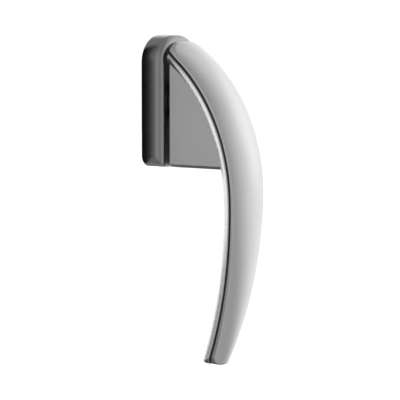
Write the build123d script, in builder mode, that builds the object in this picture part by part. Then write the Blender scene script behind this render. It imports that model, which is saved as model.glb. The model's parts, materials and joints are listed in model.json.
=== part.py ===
from build123d import *
import os
from math import acos, asin, cos, degrees, radians, sin, sqrt

# Tilt-and-turn window handle: an upright rosette with a bowed lever that hangs down when shut.
# The origin is on the spindle's axis, on the plane of the sash. +Z is up, and the user stands on
# the -Y side. A depth is a distance from the sash towards the user: a depth d is the plane Y = -d.

# Rosette cover
rosette_width = 30.0
rosette_height = 65.0
rosette_depth = 12.6
rosette_top_radius = 13.5
rosette_bottom_radius = 5.5
rosette_front_rounding = 3.4
rosette_foot_rounding = 0.8
cover_wall = 1.6
cover_lift = 0.3
access_hole_diameter = 10.6
snap_length = 12.0
snap_height = 0.4
snap_width = 1.0
snap_depth = 3.0

# Base plate
base_wall = 3.4
pocket_width = 23.2
pocket_length = 34.6
pocket_corner = 1.5
lug_diameter = 10.0
lug_length = 3.0
screw_spacing = 43.0

# Fixing screws
screw_diameter = 5.0
screw_shank_diameter = 4.5
screw_head_diameter = 9.2
screw_length = 20.0
screw_head_sink = 0.3
screw_tip = 1.0
screw_recess_width = 1.2
screw_recess_length = 5.0
screw_recess_depth = 1.8

# Neck, bush and the pieces on the neck
neck_diameter = 16.0
collar_diameter = 19.0
tail_diameter = 14.0
tail_flats = 12.0
tail_end = 1.8
bush_wall = 1.8
bush_flange_width = 0.8
bush_flange_thickness = 1.2
washer_thickness = 0.55
cam_flats = 19.0
cam_corner_radius = 6.8
cam_thickness = 3.8
ring_thickness = 1.0
ring_width = 3.0
ring_gap = 5.0
ring_groove_depth = 0.8

# Leaf springs
spring_thickness = 0.6
spring_seat_length = 2.6

# Spindle and its pin
spindle_size = 7.0
spindle_corners = 9.2
spindle_reach = 9.0
spindle_hold = 12.0
spindle_tip = 1.0
socket_cap = 1.5
pin_diameter = 3.0
pin_depth = 6.5

# Lever's front outline
lever_width = 26.0
lever_tip_width = 13.0
lever_top = 29.3
lever_tip = -129.5
lever_taper_start = 10.0
lever_top_radius = 10.0
lever_tip_radius = 4.5

# Lever's side line, along which the strip and the grip shell meet: it starts at the wedge's back,
# is deepest at the bow's apex and ends at the tip
lever_gap = 2.6
bow_top = 25.0
bow_depth = 54.7
bow_height = -46.5
bow_tip_depth = 36.8

# Strip and wedge of the lever's rear casting
strip_depth_top = 4.0
strip_depth = 4.3
strip_depth_tip = 5.6
strip_back_share = 0.65
strip_front_share = 0.1
strip_land = 0.5
strip_lean = 8.0
strip_side_radius = 12.8
wedge_width = 23.2
wedge_top = 27.8
wedge_bottom = -32.4
wedge_top_radius = 8.5
wedge_bottom_radius = 2.0
wedge_back_rounding = 0.7
wedge_wall = 2.6
wedge_back_wall = 3.0

# Seal between the strip and the grip shell, which shows as a dark line
seal_thickness = 1.5
seal_inset = 0.35
seal_width = 1.7

# Grip shell
crown_rise = 6.2
crown_rise_top = 4.4
crown_rise_tip = 4.2
crown_lip = 1.0
crown_rounding = 0.6
shell_wall = 2.5
tongue_height = 0.8
boss_diameter = 7.5
peg_diameter = 3.6
peg_length = 3.0
peg_heights = (-75.0, -112.0)

# Shell screws
shell_screw_diameter = 4.0
shell_screw_shank = 3.5
shell_screw_head = 7.6
shell_screw_length = 14.0
shell_screw_sink = 0.2
shell_screw_heights = (14.5, -22.0)

# Clearances
running_clearance = 0.05
seat_clearance = 0.15
hole_clearance = 0.25
cover_clearance = 0.15
front_clearance = 0.2
collar_clearance = 0.5
axial_play = 0.2
tongue_clearance = 0.4

# Depths of the stack, from the sash to the user
cover_inside = rosette_depth - cover_wall
base_front = cover_inside - front_clearance
pocket_floor = base_front - base_wall
washer_back = base_front + running_clearance
collar_back = washer_back + washer_thickness
wedge_back = rosette_depth + lever_gap
wedge_floor = wedge_back + wedge_back_wall
cam_front = pocket_floor - axial_play
cam_back = cam_front - cam_thickness
ring_front = cam_back - running_clearance
ring_back = ring_front - ring_thickness
neck_end = ring_back - tail_end
socket_end = wedge_back + spindle_hold
screw_head_depth = base_front - screw_head_sink


def arc_radius(aside, along):
    """Return the radius of an arc that sets off along one way and ends some way aside from it."""
    return (aside**2 + along**2) / (2 * aside)


# Sizes that follow from the ones above
screw_heights = (-screw_spacing / 2, screw_spacing / 2)
base_inset = cover_wall + cover_clearance
bush_radius = neck_diameter / 2 + running_clearance + bush_wall
spring_front = cam_flats / 2 + running_clearance
spring_back = spring_front + spring_thickness
tongue_inset = shell_wall + seat_clearance
tongue_root = -seal_thickness - strip_depth_top / 2
strip_least_depth = min(strip_depth_top, strip_depth, strip_depth_tip)
taper_length = lever_taper_start - lever_tip
taper_inset = (lever_width - lever_tip_width) / 2
taper_radius = arc_radius(taper_inset, taper_length)
bow_upper_radius = arc_radius(bow_depth - wedge_back, bow_top - bow_height)
bow_lower_radius = arc_radius(bow_depth - bow_tip_depth, bow_height - lever_tip)
strip_apex = bow_depth - seal_thickness - strip_depth

# Reaches that only have to pass the part's edges
past_side = lever_width
past_front = bow_depth + lever_width
past_end = 3.0
crown_root = bow_depth - wedge_back
crown_margin = 1.0
lean_reach = strip_depth_tip + past_end
crown_steps = 6

# Plane of the lever's side view: its x is the depth and its y is the height
side_plane = Plane(origin=(0, 0, 0), x_dir=(0, -1, 0), z_dir=(-1, 0, 0))


def front_plane(depth):
    """Return the plane at a depth, facing the user, with X across and Z up."""
    return Plane.XZ.offset(depth)


def rosette_outline(depth, inset, foot=0):
    """Return the rosette's outline at a depth, drawn in by an inset and longer by a foot."""
    with BuildSketch(front_plane(depth)) as outline:
        with Locations((0, -foot / 2)):
            Rectangle(rosette_width - 2 * inset, rosette_height - 2 * inset + foot)
        fillet(outline.vertices().group_by(Axis.Y)[-1], rosette_top_radius - inset)
        fillet(outline.vertices().group_by(Axis.Y)[0], rosette_bottom_radius - inset)
    return outline.sketch


def lever_half_width(height, inset):
    """Return half the lever's width at a height, drawn in by an inset."""
    below = max(lever_taper_start - height, 0)
    return lever_width / 2 - taper_radius + sqrt((taper_radius - inset) ** 2 - below**2)


def lever_outline(depth, inset):
    """Return the lever's front outline at a depth, drawn in by an inset."""
    top = lever_top - inset
    tip = lever_tip + inset
    half_top = lever_width / 2 - inset
    half_tip = lever_half_width(tip, inset)
    with BuildSketch(front_plane(depth)) as outline:
        with BuildLine():
            Polyline(
                (half_top, lever_taper_start),
                (half_top, top),
                (-half_top, top),
                (-half_top, lever_taper_start),
            )
            TangentArc((-half_top, lever_taper_start), (-half_tip, tip), tangent=(0, -1))
            TangentArc((half_top, lever_taper_start), (half_tip, tip), tangent=(0, -1))
            Line((-half_tip, tip), (half_tip, tip))
        make_face()
        fillet(outline.vertices().group_by(Axis.Y)[-1], lever_top_radius - inset)
        fillet(outline.vertices().group_by(Axis.Y)[0], lever_tip_radius - inset)
    return outline.sketch


def wedge_outline(depth, inset):
    """Return the wedge's front outline at a depth, drawn in by an inset."""
    with BuildSketch(front_plane(depth)) as outline:
        with Locations((0, (wedge_top + wedge_bottom) / 2)):
            Rectangle(wedge_width - 2 * inset, wedge_top - wedge_bottom - 2 * inset)
        fillet(outline.vertices().group_by(Axis.Y)[-1], wedge_top_radius - inset)
        fillet(outline.vertices().group_by(Axis.Y)[0], wedge_bottom_radius)
    return outline.sketch


def tail_section(depth, clearance):
    """Return the neck's round tail with its two flats, widened by a clearance."""
    with BuildSketch(front_plane(depth)) as section:
        Circle(tail_diameter / 2 + clearance)
        Rectangle(tail_flats + 2 * clearance, 2 * tail_diameter, mode=Mode.INTERSECT)
    return section.sketch


def bow_turns(apex, upper_radius, lower_radius):
    """Return how far the bow's two arcs turn from its apex to pass the lever's top and tip."""
    upper_turn = acos((wedge_back - past_end - apex + upper_radius) / upper_radius)
    lower_turn = asin((bow_height - lever_tip + past_end) / lower_radius)
    return degrees(upper_turn), degrees(lower_turn)


def behind_bow(apex, upper_radius, lower_radius):
    """Return the side view's area behind a line of two arcs that meet upright at the apex."""
    upper_turn, lower_turn = bow_turns(apex, upper_radius, lower_radius)
    with BuildSketch(side_plane) as area:
        with BuildLine():
            upper = CenterArc((apex - upper_radius, bow_height), upper_radius, 0, upper_turn)
            lower = CenterArc((apex - lower_radius, bow_height), lower_radius, 0, -lower_turn)
            Polyline(
                upper @ 1,
                (-past_front, (upper @ 1).Y),
                (-past_front, (lower @ 1).Y),
                lower @ 1,
            )
        make_face()
    return area.sketch


def behind_joint(step):
    """Return the side view's area behind the joint line, moved a step towards the user."""
    return behind_bow(bow_depth + step, bow_upper_radius + step, bow_lower_radius + step)


def strip_radius(radius, end_height, thickness):
    """Return the radius of the strip's back line, from its apex to its thickness at one end."""
    turn = asin((end_height - bow_height) / radius)
    end_radius = radius - seal_thickness - thickness
    end_depth = bow_depth - radius + end_radius * cos(turn)
    return arc_radius(strip_apex - end_depth, end_radius * sin(turn))


def joint_depth(height):
    """Return the joint line's depth at a height."""
    radius = bow_upper_radius if height > bow_height else bow_lower_radius
    return bow_depth - radius + sqrt(radius**2 - (height - bow_height) ** 2)


def bow_plane(angle, radius):
    """Return the plane square to the joint line at an angle from its apex, with X across."""
    turn = radians(angle)
    depth = bow_depth - radius + radius * cos(turn)
    height = bow_height + radius * sin(turn)
    return Plane(
        origin=(0, -depth, height),
        x_dir=(1, 0, 0),
        z_dir=(0, -sin(turn), -cos(turn)),
    )


def along_bow(section_at):
    """Return the sections that a function draws along the bow, from the lever's top to its tip."""
    upper_turn, lower_turn = bow_turns(bow_depth, bow_upper_radius, bow_lower_radius)
    shares = [step / crown_steps for step in range(crown_steps + 1)]
    upper = [section_at(upper_turn * (1 - share), bow_upper_radius) for share in shares]
    lower = [section_at(-lower_turn * share, bow_lower_radius) for share in shares[1:]]
    return upper + lower


def lean_section(angle, radius, side):
    """Return what rounds off one side of the strip, in a section square to the joint line.

    The side leaves the outline a land's width behind the strip's front and leans in more and more.
    """
    plane = bow_plane(angle, radius)
    half = lever_half_width(plane.origin.Z, 0)
    lean = radians(strip_lean)
    centre = half - strip_side_radius * cos(lean)
    centre_height = strip_side_radius * sin(lean) - strip_land - seal_thickness
    front_turn = asin(sin(lean) - strip_land / strip_side_radius)
    back_turn = asin(sin(lean) + lean_reach / strip_side_radius)
    outside = side * (half + past_end)

    def on_side(turn):
        aside = centre + strip_side_radius * cos(turn)
        return side * aside, centre_height - strip_side_radius * sin(turn)

    with BuildSketch(plane) as section:
        with BuildLine():
            halfway = on_side((front_turn + back_turn) / 2)
            arc = ThreePointArc(on_side(front_turn), halfway, on_side(back_turn))
            Polyline(arc @ 1, (outside, (arc @ 1).Y), (outside, (arc @ 0).Y), arc @ 0)
        make_face()
    return section.sketch


def crown_section(angle, radius, inset, edge):
    """Return one section of the crown, square to the joint line, drawn in by an inset.

    The crown's arc stands as high as edge over the joint line at the outline, and at its full
    rise in the middle. The section reaches back behind the joint line.
    """
    plane = bow_plane(angle, radius)
    height = plane.origin.Z
    end, end_rise = (lever_top, crown_rise_top) if angle > 0 else (lever_tip, crown_rise_tip)
    end_share = (height - bow_height) / (end - bow_height)
    rise = crown_rise + (end_rise - crown_rise) * end_share**2 - inset
    half = lever_half_width(height, inset)
    crown_radius = arc_radius(rise - edge, half)
    reach = half + crown_margin
    reach_height = rise - crown_radius + sqrt(crown_radius**2 - reach**2)
    with BuildSketch(plane) as section:
        with BuildLine():
            arc = ThreePointArc((reach, reach_height), (0, rise), (-reach, reach_height))
            Polyline(arc @ 1, (-reach, -crown_root), (reach, -crown_root), arc @ 0)
        make_face()
    return section.sketch


def crown_sections(inset, edge):
    """Return the crown's sections along the bow, drawn in by an inset."""
    return along_bow(lambda angle, radius: crown_section(angle, radius, inset, edge))


def screw_section(plane, diameter, head_diameter, length, shank_diameter, shank_end):
    """Return half the long section of a countersunk screw, with its head's top on the plane's x."""
    head_height = (head_diameter - shank_diameter) / 2
    with BuildSketch(plane) as section:
        with BuildLine():
            Polyline(
                (0, 0),
                (head_diameter / 2, 0),
                (shank_diameter / 2, -head_height),
                (shank_diameter / 2, -shank_end),
                (diameter / 2, -shank_end),
                (diameter / 2, -length + screw_tip),
                (diameter / 2 - screw_tip, -length),
                (0, -length),
                close=True,
            )
        make_face()
    return section.sketch


def faces_of_radius(builder, *radii):
    """Return a part's cylindrical faces that have one of the radii."""
    rounds = builder.faces().filter_by(GeomType.CYLINDER)
    return rounds.filter_by(lambda face: min(abs(face.radius - radius) for radius in radii) < 1e-6)


os.makedirs("parts", exist_ok=True)

# Inside of the cover
with BuildPart() as cover_inside_form:
    extrude(rosette_outline(0, cover_wall), amount=cover_inside)
    fillet(cover_inside_form.faces().sort_by(Axis.Y)[0].edges(), rosette_front_rounding - cover_wall)

# Cover: a deep dish with one hole for the neck, two for the screwdriver and two snap ridges inside.
# Its front is rounded along the sides and the top, and the rounding runs out square at the foot.
with BuildPart() as rosette_cover:
    cover_height = rosette_depth - cover_lift
    long_foot = rosette_front_rounding + rosette_bottom_radius
    extrude(rosette_outline(cover_lift, 0, long_foot), amount=cover_height)
    fillet(rosette_cover.faces().sort_by(Axis.Y)[0].edges(), rosette_front_rounding)
    extrude(rosette_outline(cover_lift, 0), amount=cover_height, mode=Mode.INTERSECT)
    with BuildSketch(side_plane) as side_view:
        with Locations((rosette_depth - cover_height / 2, 0)):
            Rectangle(cover_height, rosette_height)
        foot_corner = side_view.vertices().group_by(Axis.Y)[0].sort_by(Axis.X)[-1]
        fillet(foot_corner, rosette_foot_rounding)
    extrude(amount=rosette_width, both=True, mode=Mode.INTERSECT)
    add(cover_inside_form.part, mode=Mode.SUBTRACT)
    with BuildSketch(front_plane(cover_inside)):
        Circle(collar_diameter / 2 + collar_clearance)
        with Locations(*[(0, height) for height in screw_heights]):
            Circle(access_hole_diameter / 2)
    extrude(amount=cover_wall, mode=Mode.SUBTRACT)
    snap_thickness = snap_height + cover_wall / 2
    snap_place = rosette_width / 2 - cover_wall - snap_height + snap_thickness / 2
    with Locations((-snap_place, -snap_depth, 0), (snap_place, -snap_depth, 0)):
        Box(snap_thickness, snap_width, snap_length)

rosette_cover.part.label = "rosette_cover"
export_step(rosette_cover.part, "parts/rosette_cover.step")

# Base plate: a casting that is open to the sash, with a pocket for the cam and its springs
with BuildPart() as base_plate:
    extrude(rosette_outline(0, base_inset), amount=base_front)
    fillet(base_plate.faces().sort_by(Axis.Y)[0].edges(), rosette_front_rounding - cover_wall)
    with BuildSketch(front_plane(0)):
        RectangleRounded(pocket_width, pocket_length, pocket_corner)
    extrude(amount=pocket_floor, mode=Mode.SUBTRACT)
    seat_width = pocket_width / 2 - spring_back
    seat_x = spring_back + seat_width / 2
    seat_z = (pocket_length - spring_seat_length) / 2
    with BuildSketch(front_plane(cam_back)):
        with GridLocations(2 * seat_x, 2 * seat_z, 2, 2):
            Rectangle(seat_width, spring_seat_length)
    extrude(amount=pocket_floor - cam_back)
    with BuildSketch(front_plane(pocket_floor)):
        Circle(bush_radius)
    extrude(amount=base_wall, mode=Mode.SUBTRACT)
    with BuildSketch(front_plane(base_front)):
        Circle(bush_radius + bush_flange_width + running_clearance)
    extrude(amount=-bush_flange_thickness, mode=Mode.SUBTRACT)
    with BuildSketch(front_plane(0)):
        with Locations(*[(0, height) for height in screw_heights]):
            Circle(lug_diameter / 2)
    extrude(amount=-lug_length)
    with Locations(*[Plane((0, -base_front, height), z_dir=(0, -1, 0)) for height in screw_heights]):
        CounterSinkHole(
            screw_diameter / 2 + hole_clearance,
            screw_head_diameter / 2 + screw_head_sink,
            counter_sink_angle=90,
        )
    notch_height = snap_height + cover_clearance
    notch_place = rosette_width / 2 - base_inset
    with Locations((-notch_place, -snap_depth, 0), (notch_place, -snap_depth, 0)):
        Box(
            2 * notch_height,
            snap_width + 2 * seat_clearance,
            snap_length + 2 * seat_clearance,
            mode=Mode.SUBTRACT,
        )

base_plate.part.label = "base_plate"
export_step(base_plate.part, "parts/base_plate.step")

# Flanged bush in the base plate
with BuildPart() as bearing_bush:
    with BuildSketch(front_plane(pocket_floor)):
        Circle(bush_radius)
    extrude(amount=base_wall)
    with BuildSketch(front_plane(base_front)):
        Circle(bush_radius + bush_flange_width)
    extrude(amount=-bush_flange_thickness)
    with BuildSketch(front_plane(pocket_floor)):
        Circle(neck_diameter / 2 + running_clearance)
    extrude(amount=base_wall, mode=Mode.SUBTRACT)

bearing_bush.part.label = "bearing_bush"
export_step(bearing_bush.part, "parts/bearing_bush.step")

# Leaf springs, one on each side of the cam
for name, side in (("detent_spring_left", -1), ("detent_spring_right", 1)):
    with BuildPart() as detent_spring:
        with BuildSketch(front_plane(cam_back)):
            with Locations((side * (spring_front + spring_thickness / 2), 0)):
                Rectangle(spring_thickness, pocket_length - 2 * seat_clearance)
        extrude(amount=cam_thickness)
    detent_spring.part.label = name
    export_step(detent_spring.part, f"parts/{name}.step")

# Fixing screws: a thinner shank in the base plate, and the full thread behind its lugs
with BuildPart() as fixing_screws:
    for height in screw_heights:
        screw_plane = Plane((0, -screw_head_depth, height), x_dir=(1, 0, 0), z_dir=(0, 0, -1))
        shank_end = screw_head_depth + lug_length + hole_clearance
        section = screw_section(
            screw_plane,
            screw_diameter,
            screw_head_diameter,
            screw_length,
            screw_shank_diameter,
            shank_end,
        )
        revolve(section, axis=Axis((0, 0, height), (0, 1, 0)))
    with Locations(*[(0, screw_recess_depth / 2 - screw_head_depth, height) for height in screw_heights]):
        Box(screw_recess_width, screw_recess_depth, screw_recess_length, mode=Mode.SUBTRACT)
        Box(screw_recess_length, screw_recess_depth, screw_recess_width, mode=Mode.SUBTRACT)

fixing_screws.part.label = "fixing_screws"
export_step(fixing_screws.part, "parts/fixing_screws.step")

# Strip that runs down behind the grip shell, rounded at its back, with sides that round in
with BuildPart() as strip:
    extrude(behind_joint(-seal_thickness), amount=past_side, both=True)
    strip_upper_radius = strip_radius(bow_upper_radius, bow_top, strip_depth_top)
    strip_lower_radius = strip_radius(bow_lower_radius, lever_tip, strip_depth_tip)
    strip_back = behind_bow(strip_apex, strip_upper_radius, strip_lower_radius)
    extrude(strip_back, amount=2 * past_side, both=True, mode=Mode.SUBTRACT)
    extrude(lever_outline(wedge_back, 0), amount=past_front, mode=Mode.INTERSECT)
    back_edges = faces_of_radius(strip, strip_upper_radius, strip_lower_radius).edges()
    long_edges = back_edges.filter_by(Axis.X, reverse=True)
    fillet(long_edges + back_edges.sort_by(Axis.Z)[:1], strip_back_share * strip_least_depth)
    front_radii = (bow_upper_radius - seal_thickness, bow_lower_radius - seal_thickness)
    front_edges = faces_of_radius(strip, *front_radii).edges()
    long_edges = front_edges.filter_by(Axis.X, reverse=True)
    fillet(long_edges + front_edges.sort_by(Axis.Z)[:1], strip_front_share * strip_least_depth)
    for side in (-1, 1):
        lean_sections = along_bow(lambda angle, radius: lean_section(angle, radius, side))
        loft(lean_sections, mode=Mode.SUBTRACT)

# Tongue that keeps the grip shell from moving sideways
with BuildPart() as tongue:
    extrude(behind_joint(tongue_height), amount=past_side, both=True)
    extrude(behind_joint(tongue_root), amount=2 * past_side, both=True, mode=Mode.SUBTRACT)
    extrude(lever_outline(wedge_back, tongue_inset), amount=past_front, mode=Mode.INTERSECT)

# Wedge between the strip and the rosette
with BuildPart() as wedge:
    extrude(wedge_outline(wedge_back, 0), amount=past_front)
    fillet(wedge.faces().sort_by(Axis.Y)[-1].edges(), wedge_back_rounding)
    extrude(behind_joint(-seal_thickness), amount=past_side, both=True, mode=Mode.INTERSECT)

# Rear casting of the lever: strip, wedge and neck in one, cored out from the front
with BuildPart() as lever_body:
    add(strip.part)
    add(wedge.part)
    add(tongue.part)
    extrude(wedge_outline(wedge_floor, wedge_wall), amount=past_front, mode=Mode.SUBTRACT)
    with BuildSketch(front_plane(collar_back)):
        Circle(collar_diameter / 2)
    extrude(amount=wedge_floor - collar_back)
    with BuildSketch(front_plane(cam_front)):
        Circle(neck_diameter / 2)
    extrude(amount=socket_end + socket_cap - cam_front)
    extrude(tail_section(neck_end, 0), amount=cam_front - neck_end)
    with BuildSketch(front_plane(ring_back - running_clearance)):
        Circle(tail_diameter)
        Circle(tail_diameter / 2 - ring_groove_depth, mode=Mode.SUBTRACT)
    extrude(amount=cam_back - ring_back + running_clearance, mode=Mode.SUBTRACT)
    with BuildSketch(front_plane(neck_end)):
        Rectangle(spindle_size + 2 * running_clearance, spindle_size + 2 * running_clearance)
    extrude(amount=socket_end - neck_end, mode=Mode.SUBTRACT)
    with Locations((0, -wedge_back - pin_depth, 0)):
        Cylinder(pin_diameter / 2, neck_diameter + pin_diameter, mode=Mode.SUBTRACT)
    with Locations(*[Plane((0, -wedge_back, height), z_dir=(0, 1, 0)) for height in shell_screw_heights]):
        CounterSinkHole(
            shell_screw_diameter / 2 + hole_clearance,
            shell_screw_head / 2 + shell_screw_sink,
            depth=wedge_back_wall,
            counter_sink_angle=90,
        )
    for height in peg_heights:
        with BuildSketch(front_plane(joint_depth(height) - peg_length - seat_clearance)):
            with Locations((0, height)):
                Circle(peg_diameter / 2 + seat_clearance)
        extrude(amount=past_front, mode=Mode.SUBTRACT)

lever_body.part.label = "lever_body"
export_step(lever_body.part, "parts/lever_body.step")

# Seal under the grip shell's rim, set back from the lever's outline
with BuildPart() as joint_seal:
    extrude(behind_joint(-running_clearance), amount=past_side, both=True)
    seal_back = behind_joint(running_clearance - seal_thickness)
    extrude(seal_back, amount=2 * past_side, both=True, mode=Mode.SUBTRACT)
    extrude(lever_outline(wedge_back, seal_inset), amount=past_front, mode=Mode.INTERSECT)
    seal_inside = lever_outline(wedge_back, seal_inset + seal_width)
    extrude(seal_inside, amount=past_front, mode=Mode.SUBTRACT)

joint_seal.part.label = "joint_seal"
export_step(joint_seal.part, "parts/joint_seal.step")

# Crowned form of the lever's front, and the smaller form of its hollow
with BuildPart() as crown_form:
    loft(crown_sections(0, crown_lip))

with BuildPart() as hollow_form:
    loft(crown_sections(shell_wall, tongue_height + tongue_clearance))
    extrude(lever_outline(wedge_back, shell_wall), amount=past_front, mode=Mode.INTERSECT)

# Posts inside the grip shell: two screw bosses and two pegs, which end in the crown
with BuildPart() as shell_posts:
    with BuildSketch(front_plane(wedge_floor)):
        with Locations(*[(0, height) for height in shell_screw_heights]):
            Circle(boss_diameter / 2)
    extrude(amount=past_front)
    for height in peg_heights:
        with BuildSketch(front_plane(joint_depth(height) - peg_length)):
            with Locations((0, height)):
                Circle(peg_diameter / 2)
        extrude(amount=past_front)
    add(crown_form.part, mode=Mode.INTERSECT)

# Grip shell: the hollow crown, cut at the joint line and to the lever's outline
with BuildPart() as grip_shell:
    add(crown_form.part)
    extrude(behind_joint(0), amount=past_side, both=True, mode=Mode.SUBTRACT)
    extrude(lever_outline(wedge_back, 0), amount=past_front, mode=Mode.INTERSECT)
    fillet(grip_shell.faces().filter_by(GeomType.BSPLINE).edges(), crown_rounding)
    add(hollow_form.part, mode=Mode.SUBTRACT)
    add(shell_posts.part)
    with BuildSketch(front_plane(wedge_floor)):
        with Locations(*[(0, height) for height in shell_screw_heights]):
            Circle(shell_screw_diameter / 2 + running_clearance)
    pilot_depth = shell_screw_sink + shell_screw_length - wedge_back_wall + seat_clearance
    extrude(amount=pilot_depth, mode=Mode.SUBTRACT)

grip_shell.part.label = "grip_shell"
export_step(grip_shell.part, "parts/grip_shell.step")

# Shell screws, from the wedge's back into the grip shell's bosses
with BuildPart() as shell_screws:
    for height in shell_screw_heights:
        head_depth = wedge_back + shell_screw_sink
        screw_plane = Plane((0, -head_depth, height), x_dir=(1, 0, 0), z_dir=(0, 0, 1))
        section = screw_section(
            screw_plane,
            shell_screw_diameter,
            shell_screw_head,
            shell_screw_length,
            shell_screw_shank,
            wedge_back_wall,
        )
        revolve(section, axis=Axis((0, 0, height), (0, 1, 0)))

shell_screws.part.label = "shell_screws"
export_step(shell_screws.part, "parts/shell_screws.step")

# Thrust washer between the neck's collar and the bush
with BuildPart() as thrust_washer:
    with BuildSketch(front_plane(washer_back)):
        Circle(collar_diameter / 2)
        Circle(neck_diameter / 2 + seat_clearance, mode=Mode.SUBTRACT)
    extrude(amount=washer_thickness)

thrust_washer.part.label = "thrust_washer"
export_step(thrust_washer.part, "parts/thrust_washer.step")

# Index cam: a square with round corners, which lifts the springs between the stops
with BuildPart() as index_cam:
    with BuildSketch(front_plane(cam_back)):
        RectangleRounded(cam_flats, cam_flats, cam_corner_radius)
    extrude(amount=cam_thickness)
    extrude(tail_section(cam_back, running_clearance), amount=cam_thickness, mode=Mode.SUBTRACT)

index_cam.part.label = "index_cam"
export_step(index_cam.part, "parts/index_cam.step")

# Retaining ring in the neck's groove
with BuildPart() as retaining_ring:
    ring_inner = tail_diameter / 2 - ring_groove_depth + running_clearance
    with BuildSketch(front_plane(ring_back)):
        Circle(ring_inner + ring_width)
        Circle(ring_inner, mode=Mode.SUBTRACT)
        with Locations((0, -ring_inner)):
            Rectangle(ring_gap, 2 * ring_width, mode=Mode.SUBTRACT)
    extrude(amount=ring_thickness)

retaining_ring.part.label = "retaining_ring"
export_step(retaining_ring.part, "parts/retaining_ring.step")

# Square spindle with its corners turned down
with BuildPart() as spindle:
    spindle_length = spindle_reach + socket_end - running_clearance
    with BuildSketch(front_plane(-spindle_reach)):
        Rectangle(spindle_size, spindle_size)
    extrude(amount=spindle_length)
    chamfer(spindle.faces().sort_by(Axis.Y)[-1].edges(), spindle_tip)
    with BuildSketch(front_plane(-spindle_reach)):
        Circle(spindle_corners / 2)
    extrude(amount=spindle_length, mode=Mode.INTERSECT)
    with Locations((0, -wedge_back - pin_depth, 0)):
        Cylinder(pin_diameter / 2, neck_diameter, mode=Mode.SUBTRACT)

spindle.part.label = "spindle"
export_step(spindle.part, "parts/spindle.step")

# Cross pin that holds the spindle in the lever
with BuildPart() as spindle_pin:
    with Locations((0, -wedge_back - pin_depth, 0)):
        Cylinder(pin_diameter / 2, neck_diameter)

spindle_pin.part.label = "spindle_pin"
export_step(spindle_pin.part, "parts/spindle_pin.step")
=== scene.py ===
import json
import math

import bpy
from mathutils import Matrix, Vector


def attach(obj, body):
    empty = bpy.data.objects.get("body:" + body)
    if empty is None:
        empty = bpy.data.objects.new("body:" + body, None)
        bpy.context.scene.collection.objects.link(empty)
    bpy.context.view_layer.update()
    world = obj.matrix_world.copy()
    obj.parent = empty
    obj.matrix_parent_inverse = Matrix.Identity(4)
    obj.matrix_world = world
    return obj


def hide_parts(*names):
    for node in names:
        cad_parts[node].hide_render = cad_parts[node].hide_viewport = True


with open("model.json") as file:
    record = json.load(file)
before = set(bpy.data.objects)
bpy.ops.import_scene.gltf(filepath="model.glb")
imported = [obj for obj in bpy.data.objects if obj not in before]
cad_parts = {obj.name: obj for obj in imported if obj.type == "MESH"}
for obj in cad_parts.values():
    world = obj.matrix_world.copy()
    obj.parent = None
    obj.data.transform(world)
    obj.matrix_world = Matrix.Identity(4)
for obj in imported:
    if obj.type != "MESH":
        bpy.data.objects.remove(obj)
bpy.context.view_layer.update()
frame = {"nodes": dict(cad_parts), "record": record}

nodes = frame["nodes"]
scene = bpy.context.scene

MM = 0.001

# The grip's sizes, in metres, the same as in the part's source
BOW_TOP = 25.0 * MM
BOW_DEPTH = 54.7 * MM
BOW_HEIGHT = -46.5 * MM
BOW_TIP_DEPTH = 36.8 * MM
WEDGE_BACK = 15.2 * MM
LEVER_TOP = 29.3 * MM
LEVER_TIP = -129.5 * MM
LEVER_HALF_WIDTH = 13.0 * MM
LEVER_TIP_HALF_WIDTH = 6.5 * MM
TAPER_START = 10.0 * MM
TOP_RADIUS = 10.0 * MM
TIP_RADIUS = 4.5 * MM
CROWN_RISE = 6.2 * MM
CROWN_RISE_TOP = 4.4 * MM
CROWN_RISE_TIP = 4.2 * MM
CROWN_LIP = 1.0 * MM
CROWN_ROUNDING = 0.6 * MM

# The fixing screws' sizes. A tooth of the thread is a steep ridge whose top is cut off at 1.
SCREW_HEAD_Y = -10.5 * MM
SCREW_HEAD_RADIUS = 4.6 * MM
SCREW_SHANK_RADIUS = 2.25 * MM
SCREW_THREAD_RADIUS = 2.5 * MM
SCREW_ROOT_RADIUS = 2.05 * MM
SCREW_LENGTH = 20.0 * MM
SCREW_SHANK_END = 13.75 * MM
SCREW_TIP = 1.0 * MM
SCREW_PITCH = 0.8 * MM
SCREW_TOOTH_STEEPNESS = 1.6
SCREW_TOOTH_HEIGHT = 1.4
SCREW_SPACING = 43.0 * MM
SCREW_RECESS_WIDTH = 1.2 * MM
SCREW_RECESS_LENGTH = 5.0 * MM
SCREW_RECESS_DEPTH = 1.8 * MM

# How finely the two meshes are divided, and the angle from which their edges stay sharp
CROWN_STEPS = 3
GRIP_COLUMNS = 72
GRIP_ROWS = 240
GRIP_LAYERS = 4
GRIP_SHARP_DEGREES = 50
SCREW_SIDES = 48
SCREW_STEPS = 200
SCREW_SHARP_DEGREES = 32

# The neck behind the wedge's back: a painted shade that darkens the gap between rosette and
# wedge, and a dull roughness
NECK_MARGIN = 0.05 * MM
NECK_SHADE_COLOUR = (0.10, 0.10, 0.10)
NECK_ROUGHNESS = 0.45

# Most of a noise lies between these two levels
NOISE_LOW = 0.3
NOISE_HIGH = 0.7

# How far the bumps of each finish stand out
SATIN_BUMP = 0.01 * MM
CAST_BUMP = 0.06 * MM
PLASTIC_BUMP = 0.02 * MM


def arc_radius(aside, along):
    """Return the radius of an arc that sets off one way and ends some way aside from it."""
    return (aside**2 + along**2) / (2 * aside)


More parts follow.
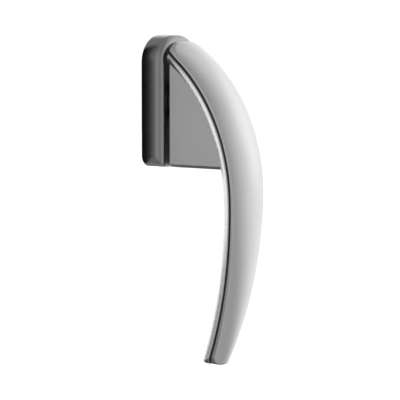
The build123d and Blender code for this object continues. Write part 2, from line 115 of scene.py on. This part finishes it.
class Field:
    """A number field in a node tree, with ordinary arithmetic."""

    def __init__(self, tree, socket):
        self.tree = tree
        self.socket = socket

    def math(self, operation, *others):
        node = self.tree.nodes.new("ShaderNodeMath")
        node.operation = operation
        for place, value in enumerate((self, *others)):
            if isinstance(value, Field):
                self.tree.links.new(value.socket, node.inputs[place])
            else:
                node.inputs[place].default_value = value
        return Field(self.tree, node.outputs[0])

    def __add__(self, other):
        return self.math("ADD", other)

    def __sub__(self, other):
        return self.math("SUBTRACT", other)

    def __mul__(self, other):
        return self.math("MULTIPLY", other)

    def __truediv__(self, other):
        return self.math("DIVIDE", other)

    def square(self):
        return self.math("POWER", 2.0)

    def root(self):
        return self.math("MAXIMUM", 0.0).math("SQRT")

    def least(self, other):
        return self.math("MINIMUM", other)

    def most(self, other):
        return self.math("MAXIMUM", other)

    def where(self, yes, no):
        """Pick yes where this field is 1, and no where it is 0."""
        return self * yes + (self * -1.0 + 1.0) * no


def new_tree(name, sizes):
    """Start a geometry tree with named sizes, and return it with its sockets and its ends."""
    tree = bpy.data.node_groups.new(name, "GeometryNodeTree")
    tree.interface.new_socket("Geometry", in_out="OUTPUT", socket_type="NodeSocketGeometry")
    sockets = {}
    for size in sizes:
        sockets[size] = tree.interface.new_socket(
            size, in_out="INPUT", socket_type="NodeSocketFloat"
        )
    start = tree.nodes.new("NodeGroupInput")
    end = tree.nodes.new("NodeGroupOutput")
    fields = {size: Field(tree, start.outputs[size]) for size in sizes}
    return tree, sockets, fields, end


def place_points(tree, mesh_socket, x, y, z):
    """Move a mesh's points to three fields, and return the result's socket."""
    combine = tree.nodes.new("ShaderNodeCombineXYZ")
    for field, socket in zip((x, y, z), combine.inputs):
        tree.links.new(field.socket, socket)
    move = tree.nodes.new("GeometryNodeSetPosition")
    tree.links.new(mesh_socket, move.inputs["Geometry"])
    tree.links.new(combine.outputs[0], move.inputs["Position"])
    return move.outputs["Geometry"]


def point_fields(tree):
    """Return the fields of a point's x, y and z."""
    position = tree.nodes.new("GeometryNodeInputPosition")
    split = tree.nodes.new("ShaderNodeSeparateXYZ")
    tree.links.new(position.outputs[0], split.inputs[0])
    return [Field(tree, socket) for socket in split.outputs]


def end_tree(tree, shape_socket, end, material):
    """Close a tree with realised instances and one material."""
    realise = tree.nodes.new("GeometryNodeRealizeInstances")
    finish = tree.nodes.new("GeometryNodeSetMaterial")
    finish.inputs["Material"].default_value = material
    tree.links.new(shape_socket, realise.inputs[0])
    tree.links.new(realise.outputs[0], finish.inputs["Geometry"])
    tree.links.new(finish.outputs["Geometry"], end.inputs[0])


def mesh_from_tree(name, tree, sockets, values, sharp_degrees):
    """Run a tree with its values and return an object that holds the plain mesh."""
    piece = bpy.data.objects.new(name, bpy.data.meshes.new(name))
    scene.collection.objects.link(piece)
    modifier = piece.modifiers.new("shape", "NODES")
    modifier.node_group = tree
    for size, value in values.items():
        modifier[sockets[size].identifier] = value
    depsgraph = bpy.context.evaluated_depsgraph_get()
    mesh = bpy.data.meshes.new_from_object(piece.evaluated_get(depsgraph))
    piece.modifiers.clear()
    piece.data = mesh
    mesh.name = name
    mesh.shade_smooth()
    mesh.set_sharp_from_angle(angle=math.radians(sharp_degrees))
    return piece


def make_grip(material):
    """Return the crowned grip shell, which follows the lever's two-arc bow."""
    taper_inset = LEVER_HALF_WIDTH - LEVER_TIP_HALF_WIDTH
    values = {
        "Bow depth": BOW_DEPTH,
        "Bow height": BOW_HEIGHT,
        "Upper radius": arc_radius(BOW_DEPTH - WEDGE_BACK, BOW_TOP - BOW_HEIGHT),
        "Lower radius": arc_radius(BOW_DEPTH - BOW_TIP_DEPTH, BOW_HEIGHT - LEVER_TIP),
        "Back": WEDGE_BACK,
        "Top": LEVER_TOP,
        "Tip": LEVER_TIP,
        "Half width": LEVER_HALF_WIDTH,
        "Taper start": TAPER_START,
        "Taper radius": arc_radius(taper_inset, TAPER_START - LEVER_TIP),
        "Top corner": TOP_RADIUS,
        "Tip corner": TIP_RADIUS,
        "Rise": CROWN_RISE,
        "Rise at top": CROWN_RISE_TOP,
        "Rise at tip": CROWN_RISE_TIP,
        "Lip": CROWN_LIP,
        "Rounding": CROWN_ROUNDING,
    }
    tree, sockets, size, end = new_tree("crowned_grip", values)
    block = tree.nodes.new("GeometryNodeMeshCube")
    block.inputs["Size"].default_value = (1, 1, 1)
    block.inputs["Vertices X"].default_value = GRIP_COLUMNS
    block.inputs["Vertices Y"].default_value = GRIP_LAYERS
    block.inputs["Vertices Z"].default_value = GRIP_ROWS
    across, layer, along = point_fields(tree)

    def half_width(height):
        below = (size["Taper start"] - height).most(0.0)
        drop = size["Taper radius"] - (size["Taper radius"].square() - below.square()).root()
        return size["Half width"] - drop

    def corner_cut(radius, from_end):
        inside = (radius - from_end).most(0.0)
        return radius - (radius.square() - inside.square()).root()

    # Rows and columns are closer together near the rim
    middle = (size["Top"] + size["Tip"]) * 0.5
    height = middle + (size["Top"] - size["Tip"]) * 0.5 * (along * math.pi).math("SINE")
    cut = corner_cut(size["Top corner"], size["Top"] - height)
    cut = cut + corner_cut(size["Tip corner"], height - size["Tip"])
    edge = half_width(height) - cut
    x = edge * (across * math.pi).math("SINE")

    # The bow's arc that this height lies on
    above = height.math("GREATER_THAN", size["Bow height"])
    radius = above.where(size["Upper radius"], size["Lower radius"])
    end_height = above.where(size["Top"], size["Tip"])
    end_rise = above.where(size["Rise at top"], size["Rise at tip"])
    climb = height - size["Bow height"]
    full_turn = climb / radius
    joint = size["Bow depth"] - radius + radius * (full_turn.square() * -1.0 + 1.0).root()

    # The crown's height over the joint line, found in a few steps from a first guess
    crown = size["Rise"]
    for _ in range(CROWN_STEPS):
        turn = climb / (radius + crown)
        share = turn * radius / (end_height - size["Bow height"])
        rise = size["Rise"] + (end_rise - size["Rise"]) * share.square()
        half = half_width(size["Bow height"] + turn * radius)
        lift = rise - size["Lip"]
        crown_radius = (half.square() + lift.square()) / (lift * 2.0)
        crown = rise - crown_radius + (crown_radius.square() - x.square()).root()
    turn = climb / (radius + crown)
    reach = (radius + crown) * (turn.square() * -1.0 + 1.0).root()
    front = size["Bow depth"] - radius + reach

    # The rim's rounding, from the distance to the nearest edge
    from_edge = edge - x.math("ABSOLUTE")
    from_edge = from_edge.least(size["Top"] - height).least(height - size["Tip"])
    inside = (size["Rounding"] - from_edge).most(0.0)
    front = front - size["Rounding"] + (size["Rounding"].square() - inside.square()).root()

    back = joint.most(size["Back"])
    depth = back + (front.most(back) - back) * (layer * -1.0 + 0.5)
    shape = place_points(tree, block.outputs["Mesh"], x, depth * -1.0, height)
    end_tree(tree, shape, end, material)
    return mesh_from_tree("grip_shell_crown", tree, sockets, values, GRIP_SHARP_DEGREES)


def make_screws(material):
    """Return the two countersunk fixing screws, with their threads and cross recesses."""
    values = {
        "Head place": SCREW_HEAD_Y,
        "Head radius": SCREW_HEAD_RADIUS,
        "Shank radius": SCREW_SHANK_RADIUS,
        "Shank end": SCREW_SHANK_END,
        "Thread radius": SCREW_THREAD_RADIUS,
        "Root radius": SCREW_ROOT_RADIUS,
        "Pitch": SCREW_PITCH,
        "Length": SCREW_LENGTH,
        "Tip": SCREW_TIP,
        "Recess width": SCREW_RECESS_WIDTH,
        "Recess length": SCREW_RECESS_LENGTH,
        "Recess depth": SCREW_RECESS_DEPTH,
        "Spacing": SCREW_SPACING,
    }
    tree, sockets, size, end = new_tree("countersunk_screws", values)
    bar = tree.nodes.new("GeometryNodeMeshCylinder")
    bar.inputs["Vertices"].default_value = SCREW_SIDES
    bar.inputs["Side Segments"].default_value = SCREW_STEPS
    bar.inputs["Radius"].default_value = 1.0
    bar.inputs["Depth"].default_value = 1.0
    sideways, upwards, height = point_fields(tree)
    along = (height * -1.0 + 0.5) * size["Length"]

    # A cone under the head, a plain shank, and a thread that winds once in a pitch
    smooth = (size["Head radius"] - along).most(size["Shank radius"])
    winding = upwards.math("ARCTAN2", sideways) / (2 * math.pi)
    phase = (along / size["Pitch"] - winding).math("FRACT")
    from_crest = (phase * 2.0 - 1.0).math("ABSOLUTE")
    tooth = from_crest * -SCREW_TOOTH_STEEPNESS + SCREW_TOOTH_HEIGHT
    tooth = tooth.most(0.0).least(1.0)
    thread = size["Root radius"] + (size["Thread radius"] - size["Root radius"]) * tooth
    radius = along.math("GREATER_THAN", size["Shank end"]).where(thread, smooth)
    past_tip = (along - size["Length"] + size["Tip"]).most(0.0)
    tip_radius = radius.least(size["Thread radius"] - past_tip)
    radius = past_tip.math("GREATER_THAN", 0.0).where(tip_radius, radius)
    body = place_points(
        tree,
        bar.outputs["Mesh"],
        sideways * radius,
        along + size["Head place"],
        upwards * radius,
    )

    # The cross recess in the head
    cut = tree.nodes.new("GeometryNodeMeshBoolean")
    cut.operation = "DIFFERENCE"
    cut.solver = "EXACT"
    tree.links.new(body, cut.inputs["Mesh 1"])
    across_and_up = (("Recess width", "Recess length"), ("Recess length", "Recess width"))
    for wide, high in across_and_up:
        slot = tree.nodes.new("GeometryNodeMeshCube")
        slot.inputs["Size"].default_value = (1, 1, 1)
        slot_x, slot_y, slot_z = point_fields(tree)
        slot_shape = place_points(
            tree,
            slot.outputs["Mesh"],
            slot_x * size[wide],
            slot_y * size["Recess depth"] * 2.0 + size["Head place"],
            slot_z * size[high],
        )
        tree.links.new(slot_shape, cut.inputs["Mesh 2"])

    # One screw at each end of the spacing
    offset = tree.nodes.new("ShaderNodeCombineXYZ")
    start = tree.nodes.new("ShaderNodeCombineXYZ")
    tree.links.new(size["Spacing"].socket, offset.inputs["Z"])
    tree.links.new((size["Spacing"] * -0.5).socket, start.inputs["Z"])
    places = tree.nodes.new("GeometryNodeMeshLine")
    places.inputs["Count"].default_value = 2
    tree.links.new(start.outputs[0], places.inputs["Start Location"])
    tree.links.new(offset.outputs[0], places.inputs["Offset"])
    copies = tree.nodes.new("GeometryNodeInstanceOnPoints")
    tree.links.new(places.outputs["Mesh"], copies.inputs["Points"])
    tree.links.new(cut.outputs["Mesh"], copies.inputs["Instance"])
    end_tree(tree, copies.outputs["Instances"], end, material)
    return mesh_from_tree("fixing_screws_threaded", tree, sockets, values, SCREW_SHARP_DEGREES)


def new_material(name):
    """Return a new node material with its tree and its shader."""
    material = bpy.data.materials.new(name)
    material.use_nodes = True
    tree = material.node_tree
    return material, tree, tree.nodes["Principled BSDF"]


def own_place(tree):
    """Return the fields of x, y and z on the piece's own coordinates."""
    place = tree.nodes.new("ShaderNodeTexCoord")
    split = tree.nodes.new("ShaderNodeSeparateXYZ")
    tree.links.new(place.outputs["Object"], split.inputs[0])
    return [Field(tree, socket) for socket in split.outputs]


def seen_by_camera(tree):
    """Return a field that is 1 for what the camera sees, straight or by way of the metal."""
    rays = tree.nodes.new("ShaderNodeLightPath")
    seen = Field(tree, rays.outputs["Is Camera Ray"])
    seen = seen.most(Field(tree, rays.outputs["Is Glossy Ray"]))
    return seen.most(Field(tree, rays.outputs["Is Transmission Ray"]))


def noise_at(tree, scale, detail, stretch=(1, 1, 1)):
    """Return a noise on the piece's own coordinates, in millimetres, stretched by axis."""
    place = tree.nodes.new("ShaderNodeTexCoord")
    mapping = tree.nodes.new("ShaderNodeMapping")
    mapping.inputs["Scale"].default_value = [scale / MM / along for along in stretch]
    noise = tree.nodes.new("ShaderNodeTexNoise")
    noise.inputs["Scale"].default_value = 1.0
    noise.inputs["Detail"].default_value = detail
    tree.links.new(place.outputs["Object"], mapping.inputs["Vector"])
    tree.links.new(mapping.outputs["Vector"], noise.inputs["Vector"])
    return noise


def spread(tree, noise, low, high):
    """Return the noise's factor, mapped to a range."""
    ramp = tree.nodes.new("ShaderNodeMapRange")
    ramp.inputs["From Min"].default_value = NOISE_LOW
    ramp.inputs["From Max"].default_value = NOISE_HIGH
    ramp.inputs["To Min"].default_value = low
    ramp.inputs["To Max"].default_value = high
    tree.links.new(noise.outputs["Fac"], ramp.inputs["Value"])
    return ramp.outputs["Result"]


def colour_mix(tree, factor):
    """Return a node that a factor moves from its colour A to its colour B."""
    mix = tree.nodes.new("ShaderNodeMix")
    mix.data_type = "RGBA"
    tree.links.new(factor, mix.inputs["Factor"])
    return mix


def tinted(tree, shader, noise, dark, light):
    """Give a shader a colour that a noise moves from dark to light."""
    mix = colour_mix(tree, spread(tree, noise, 0.0, 1.0))
    mix.inputs["A"].default_value = (*dark, 1)
    mix.inputs["B"].default_value = (*light, 1)
    tree.links.new(mix.outputs["Result"], shader.inputs["Base Color"])


def roughened(tree, shader, noise, smooth, rough):
    """Give a shader a roughness that a noise moves between two levels."""
    tree.links.new(spread(tree, noise, smooth, rough), shader.inputs["Roughness"])


def bumped(tree, shader, noise, strength, distance):
    """Give a shader a bump from a noise."""
    bump = tree.nodes.new("ShaderNodeBump")
    bump.inputs["Strength"].default_value = strength
    bump.inputs["Distance"].default_value = distance
    tree.links.new(noise.outputs["Fac"], bump.inputs["Height"])
    tree.links.new(bump.outputs["Normal"], shader.inputs["Normal"])


def satin_metal(name, dark, light, smooth, rough):
    """Return an anodised satin metal with a fine grain along the lever."""
    material, tree, shader = new_material(name)
    shader.inputs["Metallic"].default_value = 1.0
    clouds = noise_at(tree, scale=0.08, detail=3.0, stretch=(1, 1, 2))
    grain = noise_at(tree, scale=7.0, detail=2.0, stretch=(1, 1, 14))
    tinted(tree, shader, clouds, dark, light)
    roughened(tree, shader, grain, smooth, rough)
    bumped(tree, shader, grain, strength=0.03, distance=SATIN_BUMP)
    return material


def paint_neck_shade(material):
    """Darken a metal behind the wedge's back as painted shade in the gap between rosette and
    wedge, and make it dull there.
    """
    tree = material.node_tree
    shader = tree.nodes["Principled BSDF"]
    _, y, _ = own_place(tree)
    # Painted shade: everything that lies behind the wedge's back is darkened
    neck_shade_mask = y.math("GREATER_THAN", NECK_MARGIN - WEDGE_BACK)
    mix = colour_mix(tree, neck_shade_mask.socket)
    tree.links.new(shader.inputs["Base Color"].links[0].from_socket, mix.inputs["A"])
    mix.inputs["B"].default_value = (*NECK_SHADE_COLOUR, 1)
    tree.links.new(mix.outputs["Result"], shader.inputs["Base Color"])
    polished = Field(tree, shader.inputs["Roughness"].links[0].from_socket)
    roughness = neck_shade_mask.where(NECK_ROUGHNESS, polished)
    tree.links.new(roughness.socket, shader.inputs["Roughness"])


def cast_metal(name, dark, light):
    """Return a raw casting with a pebbled skin."""
    material, tree, shader = new_material(name)
    shader.inputs["Metallic"].default_value = 1.0
    skin = noise_at(tree, scale=2.2, detail=4.0)
    flow = noise_at(tree, scale=0.12, detail=2.0)
    tinted(tree, shader, flow, dark, light)
    roughened(tree, shader, skin, smooth=0.42, rough=0.6)
    bumped(tree, shader, skin, strength=0.5, distance=CAST_BUMP)
    return material


def plated_metal(name, dark, light, smooth, rough):
    """Return a plated or blued steel with a faint cloudy tint."""
    material, tree, shader = new_material(name)
    shader.inputs["Metallic"].default_value = 1.0
    clouds = noise_at(tree, scale=0.35, detail=3.0)
    scratches = noise_at(tree, scale=5.0, detail=2.0, stretch=(1, 12, 1))
    tinted(tree, shader, clouds, dark, light)
    roughened(tree, shader, scratches, smooth, rough)
    bumped(tree, shader, scratches, strength=0.25, distance=SATIN_BUMP)
    return material


def moulded_plastic(name, dark, light):
    """Return a plain moulded plastic with a faint mottle."""
    material, tree, shader = new_material(name)
    mottle = noise_at(tree, scale=0.6, detail=3.0)
    skin = noise_at(tree, scale=6.0, detail=2.0)
    tinted(tree, shader, mottle, dark, light)
    roughened(tree, shader, mottle, smooth=0.4, rough=0.52)
    bumped(tree, shader, skin, strength=0.2, distance=PLASTIC_BUMP)
    return material


# Each slot's finish, its darkest and lightest colour, and for some the least and most roughness
LOOKS = {
    # The rosette's satin is a darker copy of the lever's metal: painted shade that stands in
    # for the darker reflections it shows
    "rosette_satin": (satin_metal, (0.42, 0.42, 0.43), (0.45, 0.45, 0.46), 0.27, 0.30),
    "lever_satin": (satin_metal, (0.78, 0.78, 0.78), (0.81, 0.81, 0.81), 0.20, 0.24),
    "grip_satin": (satin_metal, (0.78, 0.78, 0.78), (0.81, 0.81, 0.81), 0.34, 0.38),
    "die_cast": (cast_metal, (0.42, 0.42, 0.43), (0.50, 0.50, 0.51)),
    "plated_steel": (plated_metal, (0.56, 0.56, 0.55), (0.66, 0.66, 0.63), 0.22, 0.32),
    "spring_steel": (plated_metal, (0.22, 0.23, 0.26), (0.30, 0.31, 0.35), 0.25, 0.35),
    # A seal strip in the groove between the strip and the crown, made near black so that it
    # also stands in as painted shade for the groove
    "seal_black": (moulded_plastic, (0.020, 0.020, 0.021), (0.032, 0.032, 0.033)),
    "bearing_plastic": (moulded_plastic, (0.76, 0.76, 0.72), (0.83, 0.83, 0.80)),
}
FINISHES = {slot: kind(slot, *levels) for slot, (kind, *levels) in LOOKS.items()}
# Painted shade on the lever's neck, in the gap between the rosette and the wedge
paint_neck_shade(FINISHES["lever_satin"])

for row in frame["record"]["subparts"]:
    mesh = nodes[row["node"]].data
    mesh.materials.clear()
    mesh.materials.append(FINISHES[row["material_slot"]])

grip = make_grip(FINISHES["grip_satin"])
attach(grip, "lever")
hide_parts("grip_shell")

screws = make_screws(FINISHES["plated_steel"])
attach(screws, "rosette")
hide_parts("fixing_screws")

# Camera at the photograph's angle
CAMERA_TARGET = Vector((-5.42, -30.0, -48.2)) * MM
CAMERA_DISTANCE = 900.0 * MM
CAMERA_AZIMUTH = math.radians(-50)
CAMERA_HEIGHT = math.radians(5)
CAMERA_LENS = 164.9
CAMERA_SENSOR = 36.0
CAMERA_NEAREST = 0.01
CAMERA_FARTHEST = 50.0

camera = bpy.data.objects.new("camera", bpy.data.cameras.new("camera"))
scene.collection.objects.link(camera)
camera.data.lens = CAMERA_LENS
camera.data.sensor_width = CAMERA_SENSOR
camera.data.clip_start = CAMERA_NEAREST
camera.data.clip_end = CAMERA_FARTHEST
back_to_camera = Vector((
    math.sin(CAMERA_AZIMUTH) * math.cos(CAMERA_HEIGHT),
    -math.cos(CAMERA_AZIMUTH) * math.cos(CAMERA_HEIGHT),
    math.sin(CAMERA_HEIGHT),
))
camera.location = CAMERA_TARGET + back_to_camera * CAMERA_DISTANCE
camera.rotation_mode = "QUATERNION"
camera.rotation_quaternion = (-back_to_camera).to_track_quat("-Z", "Y")
scene.camera = camera

scene.view_settings.view_transform = "Standard"

# White surroundings for what the camera and the metal see, and a softer light for the rest
WHITE = (1, 1, 1, 1)
SURROUNDINGS_SEEN = 1.0
SURROUNDINGS_LIGHT = 0.5

world = bpy.data.worlds.new("surroundings")
scene.world = world
world.use_nodes = True
world_tree = world.node_tree
backdrop = world_tree.nodes["Background"]
more_where_seen = seen_by_camera(world_tree) * (SURROUNDINGS_SEEN - SURROUNDINGS_LIGHT)
backdrop.inputs["Color"].default_value = WHITE
world_tree.links.new((more_where_seen + SURROUNDINGS_LIGHT).socket, backdrop.inputs["Strength"])

# How bright the tent around the handle is, by direction in degrees from the front to the left
TENT_LEVELS = (
    (-150, 1.00),
    (-90, 1.00),
    (-45, 0.93),
    (-5, 0.81),
    (22, 0.59),
    (40, 0.38),
    (50, 0.31),
    (64, 0.38),
    (85, 0.48),
    (110, 0.46),
    (130, 0.31),
    (146, 0.34),
)
TENT_WALL_SHARE = 1.0
TENT_ROOF_SHARE = 0.76

# The tent's sizes in millimetres. Its directions are counted from a centre to the right.
TENT_CENTRE = 450.0
TENT_RADIUS = 2000.0
TENT_FLOOR = -410.0
TENT_FOOT = -400.0
TENT_EAVES = 1500.0
TENT_TOP = 2200.0
TENT_VENT = 20.0
TENT_STEPS = 74

# Cards that the metal mirrors, each with its brightness and its corners in millimetres
CARDS = {
    # Dark, flat under the handle and to its left
    "card_under": (
        0.1,
        [(-1500, 0, -408), (250, -150, -408), (250, 650, -408), (-1500, 650, -408)],
    ),
    # Grey, overhead and behind
    "card_over": (
        0.3,
        [(-900, 100, 900), (600, 100, 900), (600, 900, 600), (-900, 900, 600)],
    ),
    # Grey, upright, behind the lever and to its left
    "card_behind": (
        0.26,
        [(-230, 335, -260), (-115, 382, -260), (-115, 382, -134), (-230, 335, -134)],
    ),
    # Bright, low and far behind
    "card_low": (
        1.2,
        [(-450, 850, -415), (150, 850, -415), (150, 1850, -300), (-1000, 1850, -300)],
    ),
    # Black, upright, close behind the rosette's left edge
    "flag_behind": (
        0.0,
        [(-25, 1, -30), (-17, 1, -36), (-13, 1, -34), (-14, 1, 38), (-16, 1, 38), (-25, 1, 20)],
    ),
    # Grey, upright, close behind the rosette's foot
    "card_foot": (
        0.30,
        [
            (-29, 1.5, -42), (-16, 1.5, -43), (-16, 1.5, -56),
            (16, 1.5, -56), (16, 1.5, -29), (-29, 1.5, -29),
        ],
    ),
}

# The floor's half width and its height in millimetres, and its look
FLOOR_REACH = 6000.0
FLOOR_HEIGHT = -420.0
FLOOR_COLOUR = (0.8, 0.8, 0.8)
FLOOR_ROUGHNESS = 0.9
FLOOR_GLOW = 0.7

# Each lamp's place and width in millimetres, and its watts
LAMP_TARGET = (0, -30, -40)
LAMPS = {
    "key_right": ((1300, -900, 700), 1600, 1.5),
    "rim_behind": ((200, 1300, 100), 700, 0.6),
}


def set_piece(name, points, faces, material):
    """Make a piece of the set from points in millimetres."""
    mesh = bpy.data.meshes.new(name)
    mesh.from_pydata([Vector(point) * MM for point in points], [], faces)
    mesh.materials.append(material)
    piece = bpy.data.objects.new(name, mesh)
    scene.collection.objects.link(piece)
    return piece


def hidden_piece(name, points, faces, material):
    """Make a piece of the set that the camera doesn't see, but the metal does."""
    piece = set_piece(name, points, faces, material)
    piece.visible_camera = False
    return piece


def glow_material(name, level):
    """Return an emission material of one level, with its tree and its shader."""
    material, tree, shader = new_material(name)
    tree.nodes.remove(shader)
    glow = tree.nodes.new("ShaderNodeEmission")
    glow.inputs["Strength"].default_value = level
    tree.links.new(glow.outputs[0], tree.nodes["Material Output"].inputs["Surface"])
    return material, tree, glow


def tent_material(name, share):
    """Return an emission material whose level follows the direction from the tent's centre."""
    material, tree, glow = glow_material(name, share)
    x, y, _ = own_place(tree)
    to_left = x * -1.0 + TENT_CENTRE * MM
    to_front = y * -1.0
    direction = to_left.math("ARCTAN2", to_front) / (2 * math.pi) + 0.5
    ramp = tree.nodes.new("ShaderNodeValToRGB")
    stops = ramp.color_ramp.elements
    stops.remove(stops[1])
    for place_in_list, (degrees, level) in enumerate(TENT_LEVELS):
        position = degrees / 360 + 0.5
        stop = stops[0] if place_in_list == 0 else stops.new(position)
        stop.position = position
        stop.color = (level, level, level, 1)
    tree.links.new(direction.socket, ramp.inputs[0])
    tree.links.new(ramp.outputs["Color"], glow.inputs["Color"])
    return material


def tent(name, rings, material):
    """Make a stretch of the tent from rings of radius and height, open towards the back."""
    first = TENT_LEVELS[0][0]
    last = TENT_LEVELS[-1][0]
    points = []
    faces = []
    for ring, (radius, height) in enumerate(rings):
        for step in range(TENT_STEPS + 1):
            turn = math.radians(first + (last - first) * step / TENT_STEPS)
            points.append((-math.sin(turn) * radius, -math.cos(turn) * radius, height))
            if ring and step:
                corner = len(points) - 1
                below = corner - TENT_STEPS - 1
                faces.append((below - 1, below, corner, corner - 1))
    return hidden_piece(name, points, faces, material)


def card(name, corners, level):
    """Make a flat card of one brightness."""
    return hidden_piece(name, corners, [range(len(corners))], glow_material(name, level)[0])


tent_glow = tent_material("tent", TENT_WALL_SHARE)
roof_glow = tent_material("tent_roof", TENT_ROOF_SHARE)
tent("tent_walls", [(TENT_RADIUS, TENT_FOOT), (TENT_RADIUS, TENT_EAVES)], tent_glow)
tent("tent_roof", [(TENT_RADIUS, TENT_EAVES), (TENT_VENT, TENT_TOP)], roof_glow)
tent_floor = tent("tent_floor", [(TENT_VENT, TENT_FLOOR), (TENT_RADIUS, TENT_FLOOR)], tent_glow)
cards = {name: card(name, corners, level) for name, (level, corners) in CARDS.items()}
for piece in (tent_floor, cards["card_under"]):
    piece.visible_shadow = False

# Pale floor, far under the handle
floor_material, floor_tree, floor_shader = new_material("floor")
floor_shader.inputs["Base Color"].default_value = (*FLOOR_COLOUR, 1)
floor_shader.inputs["Roughness"].default_value = FLOOR_ROUGHNESS
floor_shader.inputs["Emission Color"].default_value = WHITE
floor_glow = seen_by_camera(floor_tree) * FLOOR_GLOW
floor_tree.links.new(floor_glow.socket, floor_shader.inputs["Emission Strength"])
floor_signs = ((-1, -1), (1, -1), (1, 1), (-1, 1))
floor_corners = [(x * FLOOR_REACH, y * FLOOR_REACH, FLOOR_HEIGHT) for x, y in floor_signs]
floor = set_piece("floor", floor_corners, [range(len(floor_corners))], floor_material)


def soft_light(name, place, width, watts):
    """Add a square area light that faces the handle."""
    lamp = bpy.data.lights.new(name, "AREA")
    lamp.size = width * MM
    lamp.energy = watts
    light = bpy.data.objects.new(name, lamp)
    scene.collection.objects.link(light)
    light.location = Vector(place) * MM
    aim = Vector(LAMP_TARGET) * MM - light.location
    light.rotation_mode = "QUATERNION"
    light.rotation_quaternion = aim.to_track_quat("-Z", "Y")
    light.visible_camera = False


for lamp_name, lamp_values in LAMPS.items():
    soft_light(lamp_name, *lamp_values)
